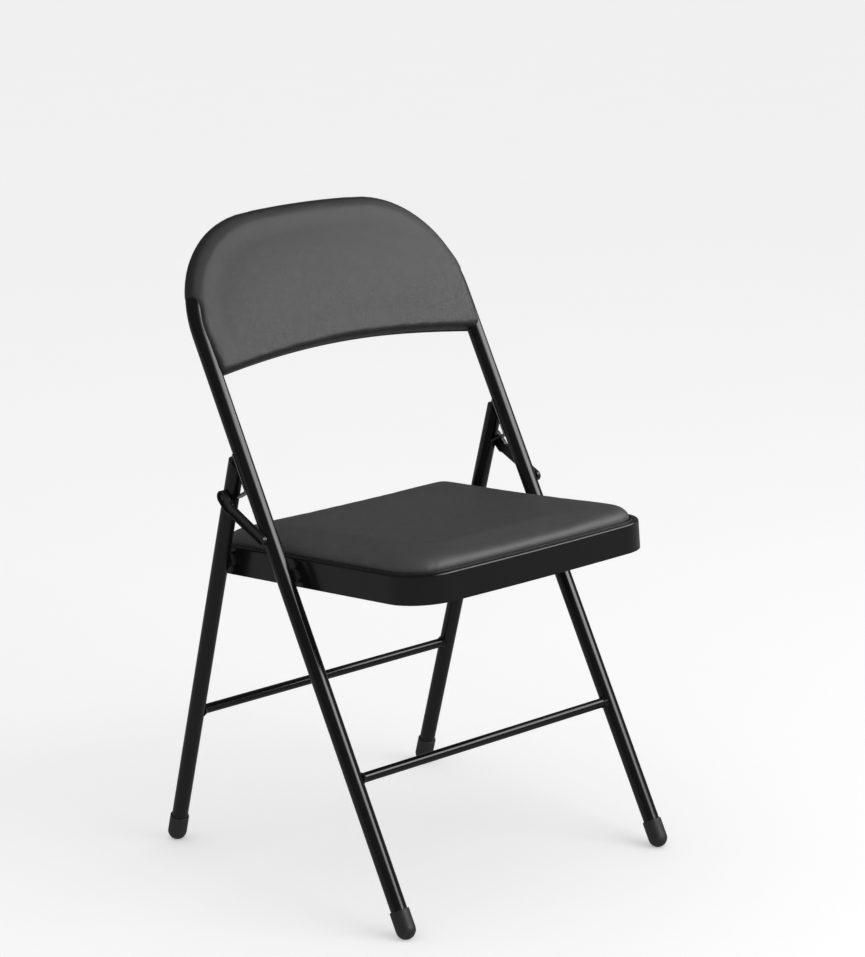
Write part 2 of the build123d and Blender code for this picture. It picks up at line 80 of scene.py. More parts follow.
class Nodes:
    """A material's node tree with short calls to add and join nodes."""

    def __init__(self, name: str) -> None:
        """Make an empty material with one Principled shader.

        Args:
            name: The material's name.
        """
        self.material = bpy.data.materials.new(name)
        self.material.use_nodes = True
        self.tree = self.material.node_tree
        self.shader = self.tree.nodes["Principled BSDF"]
        self.place = self.add("ShaderNodeTexCoord").outputs["Object"]

    def add(self, kind: str, **settings: object) -> bpy.types.Node:
        """Add a node and set its properties.

        Args:
            kind: The node's type name.
            **settings: Properties of the node.

        Returns:
            The new node.
        """
        node = self.tree.nodes.new(kind)
        for key, value in settings.items():
            setattr(node, key, value)
        return node

    def join(self, start: Socket, end: Socket) -> None:
        """Link an output to an input."""
        self.tree.links.new(start, end)

    def noise(self, scale: float, detail: float = 3.0, roughness: float = 0.5) -> Socket:
        """A noise pattern on the piece.

        Args:
            scale: Waves per metre.
            detail: How many finer layers it has.
            roughness: Strength of the finer layers.

        Returns:
            The pattern's value, about 0.5 in the mean.
        """
        node = self.add("ShaderNodeTexNoise")
        node.inputs["Scale"].default_value = scale
        node.inputs["Detail"].default_value = detail
        node.inputs["Roughness"].default_value = roughness
        self.join(self.place, node.inputs["Vector"])
        return node.outputs["Fac"]

    def range(self, value: Socket, start: tuple[float, float], end: tuple[float, float]) -> Socket:
        """Map a value from one range to another.

        Args:
            value: The value to map.
            start: The range it comes in.
            end: The range that it leaves in.

        Returns:
            The mapped value.
        """
        node = self.add("ShaderNodeMapRange")
        node.inputs["From Min"].default_value, node.inputs["From Max"].default_value = start
        node.inputs["To Min"].default_value, node.inputs["To Max"].default_value = end
        self.join(value, node.inputs["Value"])
        return node.outputs["Result"]

    def sum(self, first: Socket, second: Socket, share: float) -> Socket:
        """Add two values, the second one weighted.

        Args:
            first: The value that counts in full.
            second: The value that is weighted.
            share: The second value's weight.

        Returns:
            The weighted sum.
        """
        node = self.add("ShaderNodeMath", operation="MULTIPLY_ADD")
        node.inputs[1].default_value = share
        self.join(second, node.inputs[0])
        self.join(first, node.inputs[2])
        return node.outputs["Value"]

    def shade(self, value: Socket, dark: Colour, light: Colour) -> None:
        """Colour the surface between two colours.

        Args:
            value: Where between the two colours it is, from 0 to 1.
            dark: The colour at 0.
            light: The colour at 1.
        """
        node = self.add("ShaderNodeMix", data_type="RGBA")
        node.inputs["A"].default_value = (*dark, 1.0)
        node.inputs["B"].default_value = (*light, 1.0)
        self.join(value, node.inputs["Factor"])
        self.join(node.outputs["Result"], self.shader.inputs["Base Color"])

    def bump(self, height: Socket, depth: float, strength: float = 1.0) -> None:
        """Raise the surface by a height pattern.

        Args:
            height: The pattern.
            depth: Metres from the pattern's 0 to its 1.
            strength: How much of the bump shows.
        """
        node = self.add("ShaderNodeBump")
        node.inputs["Strength"].default_value = strength
        node.inputs["Distance"].default_value = depth
        self.join(height, node.inputs["Height"])
        self.join(node.outputs["Normal"], self.shader.inputs["Normal"])

    def gloss(self, value: Socket, start: tuple[float, float], end: tuple[float, float]) -> None:
        """Vary the surface's roughness.

        Args:
            value: The pattern that it varies with.
            start: The pattern's range.
            end: The roughness at the two ends of that range.
        """
        self.join(self.range(value, start, end), self.shader.inputs["Roughness"])

    def set(self, **values: float) -> None:
        """Set the shader's own sockets, with _ for a space in their names."""
        for key, value in values.items():
            self.shader.inputs[key.replace("_", " ")].default_value = value


@dataclass(frozen=True)
class GlossPaint:
    """Black stove enamel: a dark base under a smooth skin with a faint orange peel.

    Its lighter tone is a little cooler, and dust and smudges make the skin rougher in places.
    """

    name: str = "black_enamel"
    dark: float = 0.005
    light: float = 0.009
    cool: float = 1.08
    smooth: float = 0.12
    rough: float = 0.20
    sheen: float = 0.45
    cloud_scale: float = 14.0
    smudge_scale: float = 30.0
    dust_scale: float = 900.0
    dust_share: float = 0.25
    peel_scale: float = 420.0
    peel_depth: float = 0.000012

    def build(self) -> bpy.types.Material:
        """Make the material.

        Returns:
            The material.
        """
        nodes = Nodes(self.name)
        light = (self.light, self.light, self.light * self.cool)
        nodes.shade(nodes.noise(self.cloud_scale), (self.dark,) * 3, light)
        dust = nodes.noise(self.dust_scale, detail=2.0)
        smudge = nodes.sum(nodes.noise(self.smudge_scale, detail=5.0), dust, self.dust_share)
        nodes.gloss(smudge, (0.35, 0.9), (self.smooth, self.rough))
        nodes.bump(nodes.noise(self.peel_scale, detail=1.0), self.peel_depth)
        nodes.set(Specular_IOR_Level=self.sheen)
        return nodes.material


@dataclass(frozen=True)
class Vinyl:
    """Upholstery vinyl with a fine leather grain."""

    name: str
    dark: float
    light: float
    rough: float = 0.44
    cell_scale: float = 850.0
    valley: float = 0.16
    warp: float = 0.0012
    warp_scale: float = 260.0
    pore_scale: float = 1700.0
    pore_share: float = 0.35
    grain_depth: float = 0.00011
    grain_strength: float = 0.8
    grain_tint: float = 0.3
    cloud_scale: float = 60.0
    wear_scale: float = 240.0
    wear: tuple[float, float] = (-0.04, 0.05)
    sheen: float = 0.5

    def build(self) -> bpy.types.Material:
        """Make the material.

        Returns:
            The material.
        """
        nodes = Nodes(self.name)
        grain = nodes.range(self.cells(nodes), (0.0, self.valley), (0.0, 1.0))
        height = nodes.sum(grain, nodes.noise(self.pore_scale, detail=3.0), self.pore_share)
        nodes.bump(height, self.grain_depth, self.grain_strength)
        tone = nodes.sum(nodes.noise(self.cloud_scale, detail=5.0), grain, self.grain_tint)
        nodes.shade(nodes.range(tone, (0.3, 1.0), (0.0, 1.0)), (self.dark,) * 3, (self.light,) * 3)
        worn = nodes.noise(self.wear_scale, detail=5.0)
        low, high = self.wear
        nodes.gloss(worn, NOISE_RANGE, (self.rough + low, self.rough + high))
        nodes.set(Specular_IOR_Level=self.sheen)
        return nodes.material

    def cells(self, nodes: Nodes) -> Socket:
        """The grain's cells, unevenly pulled as in leather.

        Args:
            nodes: The material's nodes.

        Returns:
            The distance to the nearest valley between cells.
        """
        cells = nodes.add("ShaderNodeTexVoronoi", feature="DISTANCE_TO_EDGE")
        cells.inputs["Scale"].default_value = self.cell_scale
        warp = nodes.add("ShaderNodeVectorMath", operation="MULTIPLY_ADD")
        warp.inputs[1].default_value = (self.warp,) * 3
        spread = nodes.add("ShaderNodeTexNoise")
        spread.inputs["Scale"].default_value = self.warp_scale
        nodes.join(nodes.place, spread.inputs["Vector"])
        nodes.join(spread.outputs["Color"], warp.inputs[0])
        nodes.join(nodes.place, warp.inputs[2])
        nodes.join(warp.outputs["Vector"], cells.inputs["Vector"])
        return cells.outputs["Distance"]


@dataclass(frozen=True)
class Moulded:
    """Moulded plastic with a spark-eroded texture."""

    name: str
    colour: Colour
    rough: float = 0.5
    wear: float = 0.07
    fade: tuple[float, float] = (1.35, 0.004)
    cloud_scale: float = 45.0
    wear_scale: float = 70.0
    texture_scale: float = 1500.0
    texture_depth: float = 0.00005

    def build(self) -> bpy.types.Material:
        """Make the material.

        Returns:
            The material.
        """
        nodes = Nodes(self.name)
        gain, lift = self.fade
        lighter = tuple(min(1.0, part * gain + lift) for part in self.colour)
        nodes.shade(nodes.noise(self.cloud_scale, detail=4.0), self.colour, lighter)
        nodes.bump(nodes.noise(self.texture_scale, detail=2.0), self.texture_depth)
        worn = nodes.noise(self.wear_scale, detail=4.0)
        nodes.gloss(worn, NOISE_RANGE, (self.rough - self.wear, self.rough + self.wear))
        return nodes.material


@dataclass(frozen=True)
class PlatedSteel:
    """Zinc-plated steel, faintly mottled."""

    name: str = "zinc_plate"
    grey: float = 0.42
    mottle: tuple[float, float] = (0.8, 1.15)
    rough: float = 0.32
    wear: tuple[float, float] = (-0.08, 0.1)
    cloud_scale: float = 160.0
    wear_scale: float = 500.0
    pit_scale: float = 1200.0
    pit_depth: float = 0.00002

    def build(self) -> bpy.types.Material:
        """Make the material.

        Returns:
            The material.
        """
        nodes = Nodes(self.name)
        clouds = nodes.noise(self.cloud_scale, detail=4.0)
        dark, light = (self.grey * share for share in self.mottle)
        nodes.shade(clouds, (dark,) * 3, (light,) * 3)
        low, high = self.wear
        nodes.gloss(nodes.noise(self.wear_scale), NOISE_RANGE, (self.rough + low, self.rough + high))
        nodes.bump(nodes.noise(self.pit_scale, detail=2.0), self.pit_depth)
        nodes.set(Metallic=1.0)
        return nodes.material


@dataclass(frozen=True)
class Plywood:
    """Thin plywood with a stretched grain."""

    name: str = "plywood"
    dark: Colour = (0.32, 0.19, 0.09)
    light: Colour = (0.58, 0.41, 0.23)
    stretch: float = 14.0
    grain_scale: float = 18.0
    grain_depth: float = 0.0002

    def build(self) -> bpy.types.Material:
        """Make the material.

        Returns:
            The material.
        """
        nodes = Nodes(self.name)
        stretch = nodes.add("ShaderNodeMapping")
        stretch.inputs["Scale"].default_value = (1.0, self.stretch, self.stretch)
        nodes.join(nodes.place, stretch.inputs["Vector"])
        nodes.place = stretch.outputs["Vector"]
        grain = nodes.noise(self.grain_scale, detail=8.0, roughness=0.65)
        nodes.shade(nodes.range(grain, NOISE_RANGE, (0.0, 1.0)), self.dark, self.light)
        nodes.bump(grain, self.grain_depth)
        nodes.set(Roughness=0.62)
        return nodes.material


class Finishes:
    """Every finish of the chair, made once."""

    def __init__(self) -> None:
        """Build the materials."""
        self.enamel = GlossPaint().build()
        self.pan_enamel = GlossPaint(name="pan_enamel", smooth=0.15, rough=0.26).build()
        self.strap_enamel = GlossPaint(
            name="strap_enamel", dark=0.012, light=0.022, smooth=0.26, rough=0.4
        ).build()
        # The seat and the back wear one vinyl in two tones: the seat's tone is painted lighter and the
        # back's painted darker, to stand for the light and shade that fall on each.
        self.seat_vinyl = Vinyl("seat_vinyl", 0.066, 0.084).build()
        self.back_vinyl = Vinyl("back_vinyl", 0.020, 0.027).build()
        self.welt_vinyl = Vinyl("welt_vinyl", 0.016, 0.026, rough=0.34).build()
        self.caps = Moulded("cap_plastic", (0.018, 0.018, 0.019)).build()
        self.nylon = Moulded("black_nylon", (0.022, 0.022, 0.023), rough=0.36).build()
        self.zinc = PlatedSteel().build()
        self.wood = Plywood().build()

    def for_node(self, name: str) -> bpy.types.Material:
        """The finish of a CAD node.

        Args:
            name: The node's name.

        Returns:
            Its material.
        """
        choices = (
            ("foot_cap", self.caps),
            ("plug", self.caps),
            ("spacer", self.nylon),
            ("stud", self.zinc),
            ("screws", self.zinc),
            ("rivet", self.strap_enamel),
            ("strap", self.strap_enamel),
            ("welt", self.welt_vinyl),
            ("board", self.wood),
            ("seat_pan", self.pan_enamel),
            ("seat_pad", self.seat_vinyl),
            ("backrest_pad", self.back_vinyl),
            ("backrest_rear_cover", self.back_vinyl),
        )
        for word, material in choices:
            if word in name:
                return material
        return self.enamel


def dress(piece: bpy.types.Object, material: bpy.types.Material) -> None:
    """Give a piece one material on all its slots.

    Args:
        piece: The piece.
        material: Its finish.
    """
    if not piece.material_slots:
        piece.data.materials.append(material)
    for slot in piece.material_slots:
        slot.material = material


# ---- mesh helpers ----------------------------------------------------------------------------


def to_object(name: str, bm: bmesh.types.BMesh) -> bpy.types.Object:
    """Turn a bmesh into a smooth-shaded object and free it.

    Args:
        name: The object's name.
        bm: The mesh, in row coordinates.

    Returns:
        The new object.
    """
    bmesh.ops.remove_doubles(bm, verts=bm.verts, dist=1e-6)
    bmesh.ops.recalc_face_normals(bm, faces=bm.faces)
    mesh = bpy.data.meshes.new(name)
    bm.to_mesh(mesh)
    bm.free()
    mesh.shade_smooth()
    piece = bpy.data.objects.new(name, mesh)
    bpy.context.scene.collection.objects.link(piece)
    return piece


def thicken(bm: bmesh.types.BMesh, faces: list[bmesh.types.BMFace], rise: float) -> None:
    """Extrude faces along the local z axis.

    Args:
        bm: The mesh.
        faces: The faces to extrude.
        rise: How far they go.
    """
    grown = bmesh.ops.extrude_face_region(bm, geom=faces)["geom"]
    top = [part for part in grown if isinstance(part, bmesh.types.BMVert)]
    bmesh.ops.translate(bm, vec=(0, 0, rise), verts=top)


def bake_modifiers(piece: bpy.types.Object) -> None:
    """Apply every modifier of a piece to its mesh.

    Args:
        piece: The piece.
    """
    graph = bpy.context.evaluated_depsgraph_get()
    mesh = bpy.data.meshes.new_from_object(piece.evaluated_get(graph), depsgraph=graph)
    piece.modifiers.clear()
    piece.data = mesh


def remesh(piece: bpy.types.Object, voxel: float) -> None:
    """Rebuild a closed mesh from even voxels.

    Args:
        piece: The piece to rebuild.
        voxel: The voxel's size.
    """
    modifier = piece.modifiers.new("voxels", "REMESH")
    modifier.mode = "VOXEL"
    modifier.voxel_size = voxel
    modifier.use_smooth_shade = True
    bake_modifiers(piece)


def relax(piece: bpy.types.Object, rounds: int, factor: float = 0.5) -> None:
    """Smooth a piece's mesh.

    Args:
        piece: The piece.
        rounds: How often each point moves.
        factor: How far it moves towards the middle of its neighbours.
    """
    bm = bmesh.new()
    bm.from_mesh(piece.data)
    for _ in range(rounds):
        bmesh.ops.smooth_vert(
            bm, verts=bm.verts, factor=factor, use_axis_x=True, use_axis_y=True, use_axis_z=True
        )
    bm.to_mesh(piece.data)
    bm.free()


@dataclass(frozen=True)
class Upholstering:
    """Fills a closed cover with foam by a short cloth simulation.

    The cap is how far a point may move, and the tautness how far the cover shrinks, as a share.
    """

    pressure: float
    cap: float
    tautness: float = 0.012
    bending: float = 8.0
    stiffness: float = 18.0
    mass: float = 0.25
    quality: int = 6
    frames: int = 20
    smoothing: int = 4

    def fill(self, piece: bpy.types.Object, fixed: Callable[[Vector], bool]) -> None:
        """Swell a piece, holding the points that are fastened down.

        Args:
            piece: The closed cover.
            fixed: Tells which points stay where they are.
        """
        rest = [v.co.copy() for v in piece.data.vertices]
        group = piece.vertex_groups.new(name="fastened")
        group.add([i for i, co in enumerate(rest) if fixed(co)], 1.0, "REPLACE")
        cloth = piece.modifiers.new("cover", "CLOTH")
        cloth.settings.quality = self.quality
        cloth.settings.mass = self.mass
        cloth.settings.tension_stiffness = self.stiffness
        cloth.settings.compression_stiffness = self.stiffness
        cloth.settings.bending_stiffness = self.bending
        cloth.settings.use_pressure = True
        cloth.settings.uniform_pressure_force = self.pressure
        cloth.settings.shrink_min = self.tautness
        cloth.settings.vertex_group_mass = group.name
        cloth.settings.effector_weights.gravity = 0.0
        cloth.collision_settings.use_collision = False
        cloth.point_cache.frame_start = 1
        cloth.point_cache.frame_end = self.frames
        scene = bpy.context.scene
        for number in range(1, self.frames + 1):
            scene.frame_set(number)
        graph = bpy.context.evaluated_depsgraph_get()
        swollen = [v.co.copy() for v in piece.evaluated_get(graph).data.vertices]
        piece.modifiers.remove(cloth)
        piece.vertex_groups.clear()
        scene.frame_set(1)
        for vertex, start, end in zip(piece.data.vertices, rest, swollen):
            move = end - start
            if move.length > self.cap:
                move *= self.cap / move.length
            vertex.co = start + move
        piece.data.update()
        relax(piece, self.smoothing)


def subdivide_live(piece: bpy.types.Object) -> None:
    """Add one level of Subdivision Surface, the same in the viewport and the render.

    Args:
        piece: The piece.
    """
    modifier = piece.modifiers.new("smooth", "SUBSURF")
    modifier.levels = 1
    modifier.render_levels = 1


# ---- the upholstered back --------------------------------------------------------------------


@dataclass
class Backrest:
    """Cushion and rear cover of the back, made in the arch's plane.

    Each end of the sleeve over the tube has its place on the shoulder and its slant, as two angles.
    The pull is how far the right and the left lower corner reach out. The side is the x and u where
    the outline is widest, and the stitched rim stays flat while the foam swells.
    """

    finishes: Finishes
    lean: float = math.radians(28.4)
    half_track: float = 206.5 * MM
    shoulder_u: float = 734.7 * MM
    shoulder_radius: float = 130.0 * MM
    shoulder_turn: float = math.radians(85.7)
    wrap_angle: float = math.radians(15.0)
    cover_reach: float = 11.3 * MM
    low_u: float = 679.0 * MM
    low_x: float = 198.3 * MM
    low_bow: float = 17.4 * MM
    side: tuple[float, float] = (207.0 * MM, 743.0 * MM)
    front_edge: float = 12.0 * MM
    back_edge: float = -10.3 * MM
    crown: float = 20.0 * MM
    foam_spare: float = 1.0 * MM
    swell_length: float = 32.0 * MM
    swell_depth: float = 2.5 * MM
    stitched: float = 6.0 * MM
    right_end: tuple[float, float] = (math.radians(15.0), math.radians(50.0))
    left_end: tuple[float, float] = (math.radians(8.0), math.radians(15.0))
    slant_room: float = math.radians(9.0)
    corner: float = 6.0 * MM
    hem: float = 4.0 * MM
    pull: tuple[float, float] = (4.0 * MM, 12.5 * MM)
    pull_height: float = 105.0 * MM
    pull_limit: float = 211.0 * MM
    shoulder_fold: float = 1.5 * MM
    fold_fade: float = 5.0 * MM
    pucker: float = 0.9 * MM
    pucker_waves: tuple[float, float] = (95.0, 18.0)
    pucker_seed: float = 3.1
    pucker_fade: tuple[float, float] = (4.0 * MM, 11.0 * MM)
    rear_depths: tuple[float, float] = (-12.6 * MM, -10.6 * MM)
    rear_reach: float = 2.0 * MM
    rear_inset: float = 1.0 * MM
    rear_edge: float = 0.8 * MM
    voxel: float = 3.0 * MM
    arc_steps: int = 14
    bow_steps: int = 24
    ring_steps: int = 32
    ball_height: float = 11.0 * MM
    cap_radius: float = 11.8 * MM
    shoulder_x: float = field(init=False)
    plane: Matrix = field(init=False)
    bow_radius: float = field(init=False)
    bow_centre: float = field(init=False)

    def __post_init__(self) -> None:
        """Work out the arch's plane and its top bow from the frame."""
        low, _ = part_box("front_foot_cap_right")
        foot_y = low.y + self.cap_radius
        sine, cosine = math.sin(self.lean), math.cos(self.lean)
        across, up, ahead = Vector((1, 0, 0)), Vector((0, sine, cosine)), Vector((0, -cosine, sine))
        self.plane = Matrix((across, up, ahead)).transposed().to_4x4()
        self.plane.translation = Vector((0, foot_y, self.ball_height))
        self.shoulder_x = self.half_track - self.shoulder_radius
        self.bow_radius = self.shoulder_x / math.cos(self.shoulder_turn) + self.shoulder_radius
        drop = (self.bow_radius - self.shoulder_radius) * math.sin(self.shoulder_turn)
        self.bow_centre = self.shoulder_u - drop

    def over_top(self, bm: bmesh.types.BMesh, geom: list, first_angle: float) -> list:
        """Carry geometry over the arch from the left shoulder to the right one.

        Args:
            bm: The mesh, in the arch's plane.
            geom: Vertices and edges at the left shoulder.
            first_angle: How far round the shoulder they are.

        Returns:
            The geometry where the sweep ends.
        """
        bow_turn = 2 * (math.pi / 2 - self.shoulder_turn)
        turns = (
            ((self.shoulder_x, self.shoulder_u, 0), self.shoulder_turn - first_angle, self.arc_steps),
            ((0, self.bow_centre, 0), bow_turn, self.arc_steps // 2),
            ((-self.shoulder_x, self.shoulder_u, 0), self.shoulder_turn - first_angle, self.arc_steps),
        )
        for centre, angle, steps in turns:
            swept = bmesh.ops.spin(
                bm, geom=geom, cent=centre, axis=(0, 0, 1), angle=angle, steps=steps, use_duplicate=False
            )
            geom = swept["geom_last"]
        return geom

    def shoulder_point(self, angle: float, reach: float) -> Vector:
        """A point of the left shoulder.

        Args:
            angle: How far round the shoulder it is.
            reach: How far outside the tube's axis it is.

        Returns:
            The point, in the arch's plane.
        """
        radius = self.shoulder_radius + reach
        x = self.shoulder_x + radius * math.cos(angle)
        return Vector((x, self.shoulder_u + radius * math.sin(angle), 0))

    def panel(self, bm: bmesh.types.BMesh, reach: float, inset: float, w: float) -> bmesh.types.BMFace:
        """The back's outline as one face.

        Args:
            bm: The mesh, in the arch's plane.
            reach: How far the top lies outside the tube's axis.
            inset: How far the sides and the lower edge are drawn in.
            w: The face's place forward of the tube's axis.

        Returns:
            The face.
        """
        start = bm.verts.new(self.shoulder_point(self.wrap_angle, reach) + Vector((0, 0, w)))
        end = self.over_top(bm, [start], self.wrap_angle)[0]
        side_x, side_u = self.side[0] - inset, self.side[1]
        low_x, low_u = self.low_x - inset, self.low_u + inset
        bow_radius = (low_x**2 + self.low_bow**2) / (2 * self.low_bow)
        half_turn = math.asin(low_x / bow_radius)
        left = bm.verts.new((-side_x, side_u, w))
        corner = bm.verts.new((-low_x, low_u, w))
        bm.edges.new((end, left))
        bm.edges.new((left, corner))
        spun = bmesh.ops.spin(
            bm,
            geom=[corner],
            cent=(0, low_u + self.low_bow - bow_radius, w),
            axis=(0, 0, -1),
            angle=2 * half_turn,
            steps=self.bow_steps,
        )
        far_corner = spun["geom_last"][0]
        right = bm.verts.new((side_x, side_u, w))
        bm.edges.new((far_corner, right))
        bm.edges.new((right, start))
        return bmesh.ops.contextual_create(bm, geom=bm.edges[:])["faces"][0]

    def above_hem(self, point: Vector) -> float:
        """How far a point lies above the bowed lower edge.

        Args:
            point: The point, in the arch's plane.

        Returns:
            The distance, below 0 under the edge.
        """
        return point.y - self.low_u - self.low_bow * (1 - (point.x / self.low_x) ** 2)

    def inside(self, point: Vector) -> float:
        """How far inside the back's outline a point lies.

        Args:
            point: The point, in the arch's plane.

        Returns:
            The distance to the nearest edge, 0 at the edge and outside it.
        """
        side_x, side_u = self.side
        if point.y < side_u:
            share = (point.y - self.low_u) / (side_u - self.low_u)
            side = self.low_x + (side_x - self.low_x) * share - abs(point.x)
        else:
            side = side_x - abs(point.x)
        if point.y > self.shoulder_u and abs(point.x) > self.shoulder_x:
            arm = math.hypot(abs(point.x) - self.shoulder_x, point.y - self.shoulder_u)
            top = self.shoulder_radius - arm
        else:
            top = self.bow_radius - math.hypot(point.x, point.y - self.bow_centre)
        return max(0.0, min(side, self.above_hem(point), top))

    def sleeve(self, bm: bmesh.types.BMesh) -> None:
        """Add the vinyl that wraps over the arch's tube, with slanted ends.

        Args:
            bm: The mesh, in the arch's plane.
        """
        start = self.wrap_angle - self.slant_room
        centre = self.shoulder_point(start, 0)
        turn = Matrix.Rotation(start, 4, "Z") @ Matrix.Rotation(math.pi / 2, 4, "X")
        placed = Matrix.Translation(centre) @ turn
        ring = bmesh.ops.create_circle(
            bm, segments=self.ring_steps, radius=self.cover_reach, cap_ends=False, matrix=placed
        )["verts"]
        edges = list({edge for vertex in ring for edge in vertex.link_edges})
        before = set(bm.verts) - set(ring)
        self.over_top(bm, ring + edges, start)
        for side, angle, slant in ((1, *self.left_end), (-1, *self.right_end)):
            cut = self.shoulder_point(angle, 0)
            tube = [v for v in bm.verts if v not in before]
            tube_edges = list({edge for vertex in tube for edge in vertex.link_edges})
            tube_faces = list({face for vertex in tube for face in vertex.link_faces})
            bmesh.ops.bisect_plane(
                bm,
                geom=tube + tube_edges + tube_faces,
                plane_co=(side * cut.x, cut.y, 0),
                plane_no=(side * math.sin(slant), -math.cos(slant), 0),
                clear_outer=True,
            )
        bmesh.ops.holes_fill(bm, edges=[e for e in bm.edges if e.is_boundary], sides=0)

    def blank(self) -> bpy.types.Object:
        """The cover before it is filled: a rounded slab in one with the sleeve.

        Returns:
            The closed cover, in the arch's plane.
        """
        bm = bmesh.new()
        self.panel(bm, reach=0.0, inset=0.0, w=self.back_edge)
        corners = [v for v in bm.verts if abs(v.co.x) > self.low_x - MM and v.co.y < self.low_u + MM]
        bmesh.ops.bevel(
            bm, geom=corners, offset=self.corner, segments=4, profile=0.5, affect="VERTICES", material=-1
        )
        thicken(bm, bm.faces[:], self.front_edge - self.back_edge)
        rim = [e for e in bm.edges if all(v.co.z > self.front_edge - MM for v in e.verts)]
        bmesh.ops.bevel(
            bm, geom=rim, offset=self.hem, segments=4, profile=0.5, affect="EDGES", material=-1,
            clamp_overlap=True,
        )
        self.sleeve(bm)
        piece = to_object("backrest_cushion", bm)
        remesh(piece, self.voxel)
        relax(piece, 2)
        return piece

    def cushion(self) -> bpy.types.Object:
        """Foam on its board in one vinyl cover, which wraps over the arch's tube.

        Returns:
            The finished cushion.
        """
        piece = self.blank()
        for vertex in piece.data.vertices:
            inside = self.inside(vertex.co)
            if vertex.co.z > self.front_edge - self.swell_depth and inside > 0:
                swell = 1 - math.exp(-inside / self.swell_length)
                vertex.co.z += (self.crown - self.front_edge - self.foam_spare) * swell
        relax(piece, 2)
        for vertex in piece.data.vertices:
            vertex.co += self.fold_over(vertex.co)
            vertex.co.x += self.overhang(vertex.co)
        foam = Upholstering(pressure=3.0, cap=3.0 * MM)
        foam.fill(piece, lambda co: co.z < self.front_edge or self.inside(co) < self.stitched)
        for vertex in piece.data.vertices:
            vertex.co.z += self.puckered(vertex.co)
        relax(piece, 1, factor=0.4)
        piece.data.transform(self.plane)
        subdivide_live(piece)
        return piece

    def fold_over(self, point: Vector) -> Vector:
        """How far the gathered vinyl stands out round the arch's shoulders.

        Args:
            point: A point of the cover, in the arch's plane.

        Returns:
            The point's shift.
        """
        arm = Vector((abs(point.x) - self.shoulder_x, point.y - self.shoulder_u, 0))
        turn = math.atan2(arm.y, arm.x)
        if arm.length < self.shoulder_radius or not self.wrap_angle < turn < self.shoulder_turn:
            return Vector((0, 0, 0))
        share = math.sin(math.pi * (turn - self.wrap_angle) / (self.shoulder_turn - self.wrap_angle))
        fade = min(1.0, (arm.length - self.shoulder_radius) / self.fold_fade)
        out = arm.normalized() * self.shoulder_fold * share * fade
        return Vector((math.copysign(out.x, point.x), out.y, 0))

    def overhang(self, point: Vector) -> float:
        """How far the cover's lower corners are pulled out over the tubes, as sewn by hand.

        Args:
            point: A point of the cover, in the arch's plane.

        Returns:
            The shift across.
        """
        down = min(1.0, max(0.0, 1 - (point.y - self.low_u) / self.pull_height))
        out = max(0.0, (abs(point.x) - 0.5 * self.low_x) / (0.5 * self.low_x))
        right, left = self.pull
        shift = down * min(1.0, out) ** 2 * (left if point.x > 0 else right)
        shift = max(0.0, min(shift, self.pull_limit - abs(point.x)))
        return math.copysign(shift, point.x)

    def puckered(self, point: Vector) -> float:
        """How far the vinyl puckers along its lower hem, on the front only.

        Args:
            point: A point of the cover, in the arch's plane.

        Returns:
            The shift forward.
        """
        if point.z < 0:
            return 0.0
        above = max(0.0, self.above_hem(point))
        rise, fall = self.pucker_fade
        fade = math.exp(-above / fall) * (1 - math.exp(-above / rise))
        across, up = self.pucker_waves
        wave = noise.noise(Vector((point.x * across, point.y * up, self.pucker_seed)))
        return self.pucker * wave * fade

    def rear_panel(self) -> bpy.types.Object:
        """The vinyl-covered board behind the tube.

        Returns:
            The finished panel.
        """
        low, high = self.rear_depths
        bm = bmesh.new()
        face = self.panel(bm, self.rear_reach, self.rear_inset, low)
        thicken(bm, [face], high - low)
        piece = to_object("backrest_back", bm)
        for vertex in piece.data.vertices:
            vertex.co.x += self.overhang(vertex.co)
        modifier = piece.modifiers.new("edge", "BEVEL")
        modifier.width = self.rear_edge
        modifier.segments = 3
        bake_modifiers(piece)
        piece.data.transform(self.plane)
        return piece

    def build(self) -> None:
        """Make the back's pieces, dress them, fasten them to the frame and hide the CAD nodes they stand
        in for.
        """
        cushion, rear = self.cushion(), self.rear_panel()
        for piece in (cushion, rear):
            dress(piece, self.finishes.back_vinyl)
            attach(piece, Body.FRAME.value)
            report(piece)
        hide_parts("backrest_pad")
        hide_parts("backrest_rear_cover")


# ---- the seat's cushion ----------------------------------------------------------------------


